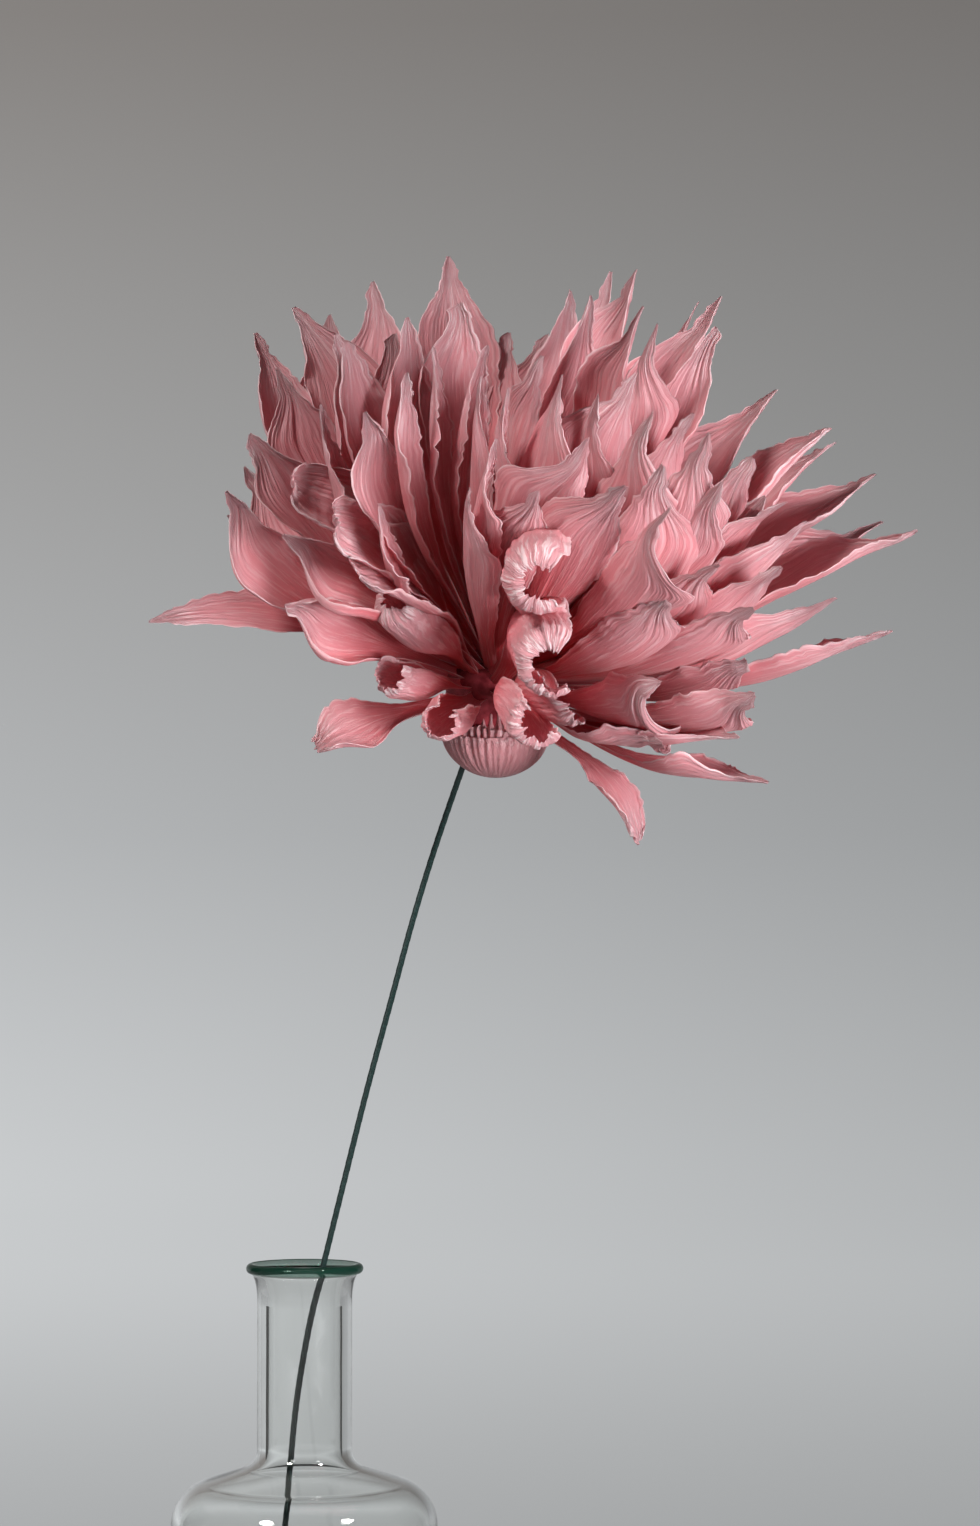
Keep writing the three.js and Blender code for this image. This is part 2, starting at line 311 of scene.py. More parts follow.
bead_z = VASE_HEIGHT - LIP_BEAD
bead_r = LIP_RADIUS - LIP_BEAD
bore = NECK_RADIUS - NECK_WALL
outer = np.concatenate(
    [
        vase_side(BODY_RADIUS, NECK_RADIUS, SHOULDER_ROUND, NECK_FILLET, FOOT_ROUND, 0.0),
        eased(
            (NECK_RADIUS, VASE_HEIGHT - 9),
            (NECK_RADIUS + 0.2, bead_z - 2.6),
            (bead_r, bead_z - LIP_BEAD),
        ),
        arc(bead_r, bead_z, LIP_BEAD, -80, 90),
    ]
)
inner = np.concatenate(
    [
        vase_side(
            BODY_RADIUS - BODY_WALL,
            bore,
            SHOULDER_ROUND - BODY_WALL,
            NECK_FILLET + NECK_WALL,
            FOOT_ROUND - BODY_WALL,
            BASE_THICKNESS,
        ),
        eased((bore, VASE_HEIGHT - 11), (bore + 0.4, bead_z - 1), (bead_r - 0.1, VASE_HEIGHT - 0.02)),
    ]
)
glass_grid = turned(np.concatenate([outer, inner[::-1]]), 128) * MM

clear_glass, shade = new_material("clear_glass")
place = shade.make("ShaderNodeTexCoord", {}, {}, output=3)
high_up = axis_of(shade, place, "Z").between((VASE_HEIGHT - 3.0) * MM, (VASE_HEIGHT - 2.3) * MM)
x, y = axis_of(shade, place, "X"), axis_of(shade, place, "Y")
far_out = (x * x + y * y).between((LIP_RADIUS - 1.9) ** 2 * MM**2, (LIP_RADIUS - 1.4) ** 2 * MM**2)
lip = high_up * far_out
tint = lip.mix((0.98, 0.992, 0.983, 1), (0.50, 0.76, 0.64, 1))
ripple = shade.make("ShaderNodeTexNoise", {}, {"Vector": place, "Scale": 55.0, "Detail": 1.0})
wave = shade.make("ShaderNodeBump", {}, {"Strength": 0.06, "Distance": 0.002, "Height": ripple})
glass = shade.make(
    "ShaderNodeBsdfPrincipled",
    {},
    {"Base Color": tint, "Roughness": 0.0, "IOR": 1.5, "Transmission Weight": 1.0, "Normal": wave},
)
bead_green = shade.make("ShaderNodeBsdfDiffuse", {}, {"Color": (0.012, 0.055, 0.036, 1)})
blown = shade.make("ShaderNodeMixShader", {}, {0: lip * 0.42, 1: glass, 2: bead_green})
shade.make("ShaderNodeOutputMaterial", {}, {"Surface": blown})
vase = surface("bud_vase", glass_grid, flat_uv(glass_grid), clear_glass)
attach(vase, "root")
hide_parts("vase")


# ---- stem wire ----
# Florist's steel wire, wound along its length with a narrow dark green paper tape, each turn lapping over
# the last. It stands on the vase's floor, leans on the lip and ends inside the flower's core.
BALL_RADIUS = 11.5
CALYX_TILT = math.radians(10)  # of the calyx, and of the core in it
core_low, core_high = (np.array(corner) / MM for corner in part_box("core"))
core_corner = np.array([core_low[0], core_low[1], core_high[2]])
HEAD = core_corner + BALL_RADIUS * np.array([1, 1, -math.cos(CALYX_TILT)])
LEAN_RIGHT = math.radians(20)
LEAN_FORWARD = math.radians(28)
AXIS = np.array(
    [
        math.sin(LEAN_RIGHT) * math.cos(LEAN_FORWARD),
        -math.sin(LEAN_FORWARD),
        math.cos(LEAN_RIGHT) * math.cos(LEAN_FORWARD),
    ]
)
WIRE_RADIUS = 0.8
WIRE_END = 5.0  # how far below the head's middle the wire ends
STEM_POINTS = [
    (-10.5, 12, 6.3),
    (-7.5, 6.5, 37.5),
    (-4.5, 0.5, 68),
    (-3.2, -2, 82),
    (-1.5, -4.6, 97),
    (2.1, -7.5, 118),
    (5.1, -8.6, 130),
    (10.3, -9.6, 151),
    (16.3, -10.4, 175),
    (22.5, -11, 198),
    (28.2, -11.8, 219),
    (33.4, -13.2, 236),
]
CALYX_DROP = 10.5
CALYX_DEPTH = 11.5
calyx_bottom = CALYX_DROP + CALYX_DEPTH
below_head = np.array([calyx_bottom + 7, calyx_bottom, 13.0, WIRE_END])
stem_knots = np.concatenate([STEM_POINTS, HEAD - AXIS * below_head[:, None]])


def through(knots, steps):
    """A smooth line through the knots. Each knot's time is the one before's plus the square root of the
    distance between them. Between two knots, the four nearest are blended in pairs by time, and then so are
    those three blends and the two that they give, which makes the line a cubic there."""
    ends = np.concatenate([[2 * knots[0] - knots[1]], knots, [2 * knots[-1] - knots[-2]]])
    gaps = np.linalg.norm(np.diff(ends, axis=0), axis=1) ** 0.5
    times = np.r_[0, np.cumsum(gaps)]
    at = np.linspace(times[1], times[-2], steps)
    span = np.clip(np.searchsorted(times, at, side="right") - 1, 1, len(knots) - 1)
    t0, t1, t2, t3 = (times[span + i][:, None] for i in (-1, 0, 1, 2))
    p0, p1, p2, p3 = (ends[span + i] for i in (-1, 0, 1, 2))
    at = at[:, None]
    a1 = (t1 - at) / (t1 - t0) * p0 + (at - t0) / (t1 - t0) * p1
    a2 = (t2 - at) / (t2 - t1) * p1 + (at - t1) / (t2 - t1) * p2
    a3 = (t3 - at) / (t3 - t2) * p2 + (at - t2) / (t3 - t2) * p3
    b1 = (t2 - at) / (t2 - t0) * a1 + (at - t0) / (t2 - t0) * a2
    b2 = (t3 - at) / (t3 - t1) * a2 + (at - t1) / (t3 - t1) * a3
    return (t2 - at) / (t2 - t1) * b1 + (at - t1) / (t2 - t1) * b2


TAPE_PITCH = 3.2
TAPE_LAP = 0.07
stem_line = through(stem_knots, 900)
stem_run = np.r_[0, np.cumsum(np.linalg.norm(np.diff(stem_line, axis=0), axis=1))]
stem_heading = np.gradient(stem_line, axis=0)
stem_heading /= np.linalg.norm(stem_heading, axis=1)[:, None]
stem_side = np.cross(stem_heading, [0.0, 1.0, 0.0])
stem_side /= np.linalg.norm(stem_side, axis=1)[:, None]
stem_back = np.cross(stem_heading, stem_side)
WIRE_SIDES = 16
angle = np.linspace(0, 2 * math.pi, WIRE_SIDES + 1)
lap = (stem_run[:, None] / TAPE_PITCH + angle / (2 * math.pi)) % 1.0
wire_radius = WIRE_RADIUS - TAPE_LAP * lap
ring = np.stack([np.cos(angle), np.sin(angle)], -1)
ring[-1] = ring[0]
wire_grid = stem_line[:, None] + wire_radius[..., None] * (
    ring[:, :1] * stem_side[:, None] + ring[:, 1:] * stem_back[:, None]
)
wire_grid[:, -1] = wire_grid[:, 0]
caps = [np.broadcast_to(stem_line[end], (1, WIRE_SIDES + 1, 3)) for end in (0, -1)]
wire_grid = np.concatenate([caps[0], wire_grid, caps[1]]) * MM

wrapped_wire, shade = new_material("wrapped_wire")
uv = shade.make("ShaderNodeUVMap", {"uv_map": "paper"}, {})
stretch = shade.make("ShaderNodeVectorMath", {"operation": "MULTIPLY"}, {0: uv, 1: (3.0, 260.0, 1.0)})
fibre = shade.make(
    "ShaderNodeTexNoise", {}, {"Vector": stretch, "Scale": 2.0, "Detail": 4.0, "Roughness": 0.6}
)
tape = fibre.between(0.3, 0.75).mix((0.004, 0.012, 0.011, 1), (0.013, 0.031, 0.028, 1))
grain = shade.make("ShaderNodeBump", {}, {"Strength": 0.5, "Distance": 0.0001, "Height": fibre})
wrap = shade.make(
    "ShaderNodeBsdfPrincipled",
    {},
    {"Base Color": tape, "Roughness": 0.5, "Specular IOR Level": 0.45, "Normal": grain},
)
shade.make("ShaderNodeOutputMaterial", {}, {"Surface": wrap})
stem = surface("wrapped_stem_wire", wire_grid, flat_uv(wire_grid), wrapped_wire)
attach(stem, "root")
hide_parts("stem_wire")


# ---- crepe paper ----
# The petals and the calyx are cut from dusty-pink crepe paper, with its crinkles running lengthwise. Light
# comes through it, so folds glow. The crimson of the depths between petals is painted shade, in the colour
# at each petal's foot, and pale and dark streaks on the crinkles are painted highlight and painted shade.
noise_table = np.random.default_rng(7).random((97, 89))


def lattice_noise(x, y):
    """A smooth random height from -1 to 1: random values on the corners of unit squares, eased between."""
    column, row = np.floor(x).astype(int), np.floor(y).astype(int)
    right, up = x - column, y - row
    right, up = right * right * (3 - 2 * right), up * up * (3 - 2 * up)

    def corner(i, j):
        return noise_table[(column + i) % 97, (row + j) % 89]

    low = corner(0, 0) * (1 - right) + corner(1, 0) * right
    high = corner(0, 1) * (1 - right) + corner(1, 1) * right
    return 2 * (low * (1 - up) + high * up) - 1


def ease(start, end, x):
    """0 before start, 1 after end and an S-shaped rise between them."""
    t = np.clip((x - start) / (end - start), 0, 1)
    return t * t * (3 - 2 * t)


def crepe_material(name, foot, belly, tip, line, shadow, through_colour, crinkles):
    """Crepe paper. Along its length the colour runs from foot to belly to tip, and its edges take the line
    colour, a painted highlight. In the petals the foot colour is painted shade, the crimson of the depths
    between them. Fine streaks follow the crinkles and are strongest near the tip: in the line colour they
    are painted highlight, in the shadow colour painted shade. Part of the light gets through, in
    through_colour."""
    material, shade = new_material(name)
    uv = shade.make("ShaderNodeUVMap", {"uv_map": "paper"}, {})
    across, along = axis_of(shade, uv, "X"), axis_of(shade, uv, "Y")
    tone = shade.make("ShaderNodeAttribute", {"attribute_name": "tone"}, {}, output=2)
    lines = shade.make("ShaderNodeCombineXYZ", {}, {0: across * crinkles, 1: along * 6.0, 2: tone * 40.0})
    streak = shade.make(
        "ShaderNodeTexNoise", {}, {"Vector": lines, "Scale": 1.0, "Detail": 3.0, "Roughness": 0.68}
    )
    broad = shade.make("ShaderNodeCombineXYZ", {}, {0: across * 5.0, 1: along * 3.0, 2: tone * 60.0})
    patch = shade.make("ShaderNodeTexNoise", {}, {"Vector": broad, "Scale": 1.0, "Detail": 2.0})
    middle = across - 0.5
    edge = (middle * middle).between(0.215, 0.25)
    gathered = along.between(0.64, 0.92)
    # Painted shade: each piece darkens towards its foot, in the petals to the deep crimson of the depths.
    colour = along.between(0.10, 0.74).mix(foot, belly)
    colour = (along.between(0.62, 1.0) * 0.30).mix(colour, tip)
    colour = (patch.between(0.45, 0.75) * 0.22).mix(colour, foot)
    # Painted shade: dark streaks between the crinkles, in the shadow colour.
    colour = ((1 - streak).between(0.52, 0.60) * (0.14 + gathered * 0.14)).mix(colour, shadow)
    # Painted highlight: pale streaks on the crinkles, in the line colour.
    colour = (streak.between(0.53, 0.58) * (0.26 + gathered * 0.62)).mix(colour, line)
    # Painted highlight: pale edges, in the line colour.
    colour = (edge * 0.6).mix(colour, line)
    height = streak.between(0.34, 0.66) * (0.30 + gathered * 0.45)
    crinkle = shade.make("ShaderNodeBump", {}, {"Strength": 0.8, "Distance": 0.0007, "Height": height})
    face = shade.make(
        "ShaderNodeBsdfPrincipled",
        {},
        {
            "Base Color": colour,
            "Roughness": 0.58,
            "Specular IOR Level": 0.38,
            "Sheen Weight": 0.08,
            "Sheen Roughness": 0.5,
            "Normal": crinkle,
        },
    )
    glow = shade.make("ShaderNodeBsdfTranslucent", {}, {"Color": through_colour, "Normal": crinkle})
    both = shade.make("ShaderNodeMixShader", {}, {0: 0.42, 1: face, 2: glow})
    shade.make("ShaderNodeOutputMaterial", {}, {"Surface": both})
    return material


def set_tone(piece, value):
    """One number for the whole piece, which shifts the material's streaks and patches."""
    layer = piece.data.attributes.new("tone", "FLOAT", "POINT")
    layer.data.foreach_set("value", np.full(len(piece.data.vertices), value, np.float32))


def sheet(middle, normal, thickness):
    """A closed sheet of paper from a grid of points along its middle: the front face, then the back face
    read the other way, with a row at each end that the two faces meet on."""
    half = normal * thickness[..., None] / 2
    front, back = middle + half, (middle - half)[:, ::-1]
    both = np.concatenate([front, back, front[:, :1]], 1)
    ends = [np.concatenate([middle[end], middle[end][::-1], middle[end][:1]])[None] for end in (0, -1)]
    return np.concatenate([ends[0], both, ends[1]])


def sheet_uv(rows, columns):
    """The map that goes with a sheet: the same across and along on both of its faces."""
    across = np.linspace(0, 1, columns)
    both = np.r_[across, across[::-1], across[:1]]
    along = np.r_[0, np.linspace(0, 1, rows), 1]
    return np.stack(np.broadcast_arrays(both[None, :], along[:, None]), -1)


PETAL_PINK = crepe_material(
    "petal_crepe",
    # foot: painted shade, the deep crimson of the depths between petals
    foot=(0.66, 0.008, 0.018, 1),
    belly=(0.75, 0.385, 0.42, 1),
    tip=(0.88, 0.70, 0.725, 1),
    # line: painted highlight on the crinkles and edges
    line=(0.97, 0.87, 0.885, 1),
    # shadow: painted shade between the crinkles
    shadow=(0.52, 0.17, 0.20, 1),
    through_colour=(0.93, 0.42, 0.46, 1),
    crinkles=36.0,
)


# ---- core ----
# A ball of wound paper pulp that every petal is glued on, standing on a plug that fills the calyx. The wire
# is pushed up into it and glued.
CALYX_RIM = HEAD + np.array([1.5, 1.0, -CALYX_DROP])
CALYX_RADIUS = 13.7
CALYX_UP = np.array([0.0, -math.sin(CALYX_TILT), math.cos(CALYX_TILT)])
CALYX_OUT = np.array([0.0, math.cos(CALYX_TILT), math.sin(CALYX_TILT)])


def on_calyx(radius, height, angle):
    """Points round the calyx's tilted axis, from their distance to it, height over its rim and angle."""
    side = radius * np.cos(angle)
    back = radius * np.sin(angle)
    return (
        CALYX_RIM
        + side[..., None] * np.array([1.0, 0.0, 0.0])
        + back[..., None] * CALYX_OUT
        + (height + 0 * angle)[..., None] * CALYX_UP
    )


turn = np.linspace(0, math.pi, 60)[:, None]
angle = np.linspace(0, 2 * math.pi, 97)[None, :]
angle[0, -1] = 0
winding = 0.18 * lattice_noise(angle * 8 / math.pi, turn * 9) + 0.10 * np.sin(turn * 46 + angle)
winding[:, -1] = winding[:, 0]
WINDING_ROOM = 0.25
PLUG_RADIUS = 12.0
PLUG_DEPTH = 10.0
ball_radius = (BALL_RADIUS - WINDING_ROOM + winding) * np.sin(turn)
ball_height = -(BALL_RADIUS - WINDING_ROOM) * np.cos(turn)
plug_turn = np.clip(turn / 1.25, 0, math.pi / 2)
plug_radius = PLUG_RADIUS * np.sin(plug_turn) + 0 * angle
plug_height = -PLUG_DEPTH * np.cos(plug_turn) + 0 * angle
swell = ease(0.9, 2.0, turn)
core_radius = (1 - swell) * plug_radius + swell * ball_radius
core_height = (1 - swell) * plug_height + swell * (ball_height + CALYX_DROP)
core_radius[[0, -1]] = 0
core_grid = on_calyx(core_radius, core_height, angle)
core_grid += (core_height + PLUG_DEPTH)[..., None] / 20 * np.array([-1.5, 0.9, 0.0])
core_grid[[0, -1]] = core_grid[[0, -1], :1]
core_grid[:, -1] = core_grid[:, 0]
core_grid *= MM

pulp, shade = new_material("paper_pulp")
place = shade.make("ShaderNodeTexCoord", {}, {}, output=3)
fibre = shade.make(
    "ShaderNodeTexNoise", {}, {"Vector": place, "Scale": 420.0, "Detail": 5.0, "Roughness": 0.6}
)
# Painted shade: the pulp's dark crimson stands for the shade deep in the flower's middle; its fibres vary it
# at random.
pulp_and_painted_shade = fibre.between(0.3, 0.7).mix((0.18, 0.015, 0.022, 1), (0.36, 0.05, 0.065, 1))
grain = shade.make("ShaderNodeBump", {}, {"Strength": 0.6, "Distance": 0.0004, "Height": fibre})
lump = shade.make("ShaderNodeBsdfPrincipled", {}, {"Base Color": pulp_and_painted_shade, "Roughness": 0.85, "Normal": grain})
shade.make("ShaderNodeOutputMaterial", {}, {"Surface": lump})
core = surface("pulp_core", core_grid, flat_uv(core_grid), pulp)
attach(core, "root")
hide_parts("core")


# ---- calyx ----
# A strip of crepe paper gathered into a shallow cup under the petals, so its crinkles run up the cup as
# fine pleats. It is glued on the core's plug. Two crumpled strips stand in the cup's mouth as a frill.
CUP_PINK = crepe_material(
    "calyx_crepe",
    foot=(0.55, 0.255, 0.275, 1),
    belly=(0.60, 0.30, 0.32, 1),
    tip=(0.80, 0.56, 0.58, 1),
    # line: painted highlight on the pleats and edges
    line=(0.80, 0.56, 0.58, 1),
    # shadow: painted shade between the pleats
    shadow=(0.50, 0.22, 0.24, 1),
    through_colour=(0.90, 0.35, 0.38, 1),
    crinkles=110.0,
)
CALYX_WALL = 0.7
down = np.linspace(0, 1, 44)[:, None]
angle = np.linspace(0, 2 * math.pi, 481)[None, :]
angle[0, -1] = 0
PLEATS = 46
pleat_place = angle * PLEATS / (2 * math.pi)
pleat = lattice_noise(pleat_place * 2 % (2 * PLEATS), 2.0 + down * 1.2) * 0.30
pleat = pleat + np.sin(pleat_place * 2 * math.pi) * 0.16
pleat = pleat * ease(0.0, 0.45, down)
hug = (1 - (1 - down) ** 2.3) ** 0.5
rim_wave = 0.9 * ease(0.8, 1.0, down) * lattice_noise(angle * 9 / math.pi, down * 0 + 5) * 0.6
cup_radius = (CALYX_RADIUS - 0.55) * hug + rim_wave
cup_height = -CALYX_DEPTH * (1 - down) ** 1.15 + 0.25
cup_middle = on_calyx(cup_radius + pleat, cup_height + 0 * angle, angle)
cup_normal = on_calyx(cup_radius + 0 * angle, cup_height * 1.6, angle) - CALYX_RIM
cup_normal /= np.linalg.norm(cup_normal, axis=-1)[..., None]
cup_middle[:, -1], cup_normal[:, -1] = cup_middle[:, 0], cup_normal[:, 0]


def ring_sheet(middle, normal, thickness):
    """A closed sheet that runs all the way round: the outer face's rows, then the inner face's rows read
    the other way. At a pole each face comes to a point by itself."""
    half = normal * thickness / 2
    return np.concatenate([middle + half, (middle - half)[::-1]])


cup_grid = ring_sheet(cup_middle, cup_normal, CALYX_WALL)
cup_map = np.concatenate([np.broadcast_to(down, pleat.shape), np.broadcast_to(down[::-1], pleat.shape)])
cup_uv = np.stack([np.broadcast_to(angle / (2 * math.pi), cup_map.shape), cup_map], -1)
calyx = surface("crepe_calyx", cup_grid * MM, cup_uv, CUP_PINK)
set_tone(calyx, 0.31)
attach(calyx, "root")
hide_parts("calyx")


def frill(name, radius, foot, height, folds, lean, tone):
    """A gathered strip standing in a ring: its radius swings by a sine of the angle times the folds, more
    towards the top, and its top edge is cut unevenly."""
    up = np.linspace(0, 1, 14)[:, None]
    angle = np.linspace(0, 2 * math.pi, 16 * folds + 1)[None, :]
    angle[0, -1] = 0
    fold_place = angle * folds / (2 * math.pi)
    swing = np.sin(2 * math.pi * fold_place + 1.5 * lattice_noise(fold_place * 0.4, up * 0 + tone * 50))
    swing = swing * (0.35 + 0.75 * up) * (1 + 0.5 * lattice_noise(fold_place * 0.5, up * 0 + 8))
    ragged = 0.45 * lattice_noise(fold_place * 3, up * 0 + 3)
    ragged = ragged + 0.8 * lattice_noise(fold_place * 0.2, up * 0 + 6)
    reach = radius + lean * up**1.5 + 0.62 * swing + 0.3 * lattice_noise(fold_place * 2, up * 3)
    rise = foot + (height + ragged) * up
    middle = on_calyx(reach, rise, angle)
    normal = on_calyx(reach + 1, rise, angle) - middle
    middle[:, -1] = middle[:, 0]
    grid = ring_sheet(middle, normal, 0.26)
    grid = np.concatenate([grid, grid[:1]])
    rows = np.r_[up[:, 0], up[::-1, 0], up[0, 0]]
    uv = np.stack(np.broadcast_arrays(angle / (2 * math.pi), 0.72 + 0.28 * rows[:, None]), -1)
    piece = surface(name, grid * MM, uv, CUP_PINK)
    set_tone(piece, tone)
    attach(piece, "root")


frill("calyx_frill_outer", 12.1, -1.2, 3.6, 44, 0.4, 0.62)
frill("calyx_frill_inner", 11.2, 0.4, 5.2, 36, -1.4, 0.17)


# ---- petals ----
# Each petal is one piece of crepe: a narrow foot glued on the core, a blade stretched into a smooth hollow
# that faces the head's axis, and an end where the unstretched crinkles run together, rolled like a quill.
SIDE = np.array([1.0, 0.0, 0.0]) - AXIS[0] * AXIS
SIDE /= np.linalg.norm(SIDE)
BACK = np.cross(AXIS, SIDE)
PETAL_ROWS = 74
PETAL_COLUMNS = 61
FULL_REACH = 112.0  # a petal that reaches this far has its kind's full width
PAPER = 0.30  # thickness
FOOT_DEPTH = 1.5  # how deep in the core a petal's foot stands
EDGE_WAVE = 0.77  # height of the waves along the edges
POINTED = {
    "width": 25.5,  # across the flattened blade at its widest
    "foot": 2.7,  # half the width at the foot
    "stalk": 1.5,  # how long the foot stays narrow
    "belly": 0.74,  # share of the length to the widest place
    "neck": 0.96,  # share of the length where the blade has narrowed to the horn
    "quill": 0.20,  # width there, as a share of the blade's
    "end": 0.05,  # width at the very end, as a share of the blade's
    "cut": 0.84,  # how far the horn lies to one side of the blade, 1 being its edge
    "horn_curl": 55,  # extra turn of the horn's own section
    "wrap": (55, 46, 50, 66),  # half the angle that the section turns: foot, belly, neck and end
    "rim": 14,  # further turn of the two edges along the belly
    "bend": 24,  # turn of the blade towards the axis
    "bend_from": 0.25,  # share of the length where that turn starts
    "recurve": 14,  # turn of the end back outwards
    "sway": 0.05,  # sideways drift of the end, as a share of the length
    "roll": 0,  # turn of the blade about its length
    "twist": 22,  # further turn of the end
    "horn": 0,  # how far one corner of the end runs ahead, in mm
    "round": 0,  # how far both corners of the end stay behind, in mm
    "lip": 0,  # turn of the end inwards, as a jar's mouth turns
    "lip_from": 0.88,  # share of the length where that turn starts
    "shrink": 0.55,  # how far a shorter petal is narrower too, from 0 to 1
    "centred": 0,  # 1 puts the middle of each section on the centre line, 0 the middle of its paper
}
ROLLED = {
    "shrink": 0.0, "sway": 0.0, "twist": 3, "cut": 0.1, "horn_curl": 0, "bend": 0, "recurve": 0,
    "centred": 1, "belly": 0.66, "neck": 0.9,
}
KINDS = {
    "pointed": {},
    "broad": {"width": 32.0, "wrap": (52, 42, 46, 60)},
    "slim": {"width": 17.0, "wrap": (60, 60, 60, 80)},
    "scoop": ROLLED | {
        "width": 32.0, "quill": 0.75, "end": 0.45, "wrap": (56, 46, 46, 44), "rim": 34, "round": 3,
        "lip": 46, "lip_from": 0.9, "bend": 8,
    },
    "tube": ROLLED | {
        "width": 32.0, "quill": 0.95, "end": 0.85, "wrap": (62, 118, 142, 142), "lip": 75,
    },
    "curl": ROLLED | {
        "width": 37.0, "quill": 1.0, "end": 0.95, "wrap": (52, 84, 122, 124), "rim": 0, "lip": 112,
        "lip_from": 0.905,
    },
    "spoon": {
        "width": 21.0, "foot": 2.8, "stalk": 3.5, "belly": 0.82, "neck": 0.94, "quill": 0.8,
        "end": 0.35, "rim": 0, "horn_curl": 20, "cut": 0.3, "wrap": (50, 34, 34, 40), "bend": -14,
        "recurve": 12, "shrink": 0.0,
    },
    "stray": {
        "width": 14.0, "belly": 0.68, "neck": 0.9, "quill": 0.6, "wrap": (40, 30, 34, 50), "rim": 0,
        "bend": -30, "recurve": 0, "roll": 6, "twist": 0, "cut": 0.2, "horn_curl": 0,
    },
}
TURNED = {190: 26, 335: 22}  # extra roll of the petals on two sides of the head, by azimuth


def sine_sum(angle, half):
    """The running sum across a section of the sine of its angle times its length, from its middle."""
    step = np.sin((angle[:, 1:] + angle[:, :-1]) / 2) * (half[:, 1:] + half[:, :-1]) / (PETAL_COLUMNS - 1)
    total = np.concatenate([np.zeros((len(step), 1)), np.cumsum(step, axis=1)], 1)
    return total - total[:, PETAL_COLUMNS // 2, None]


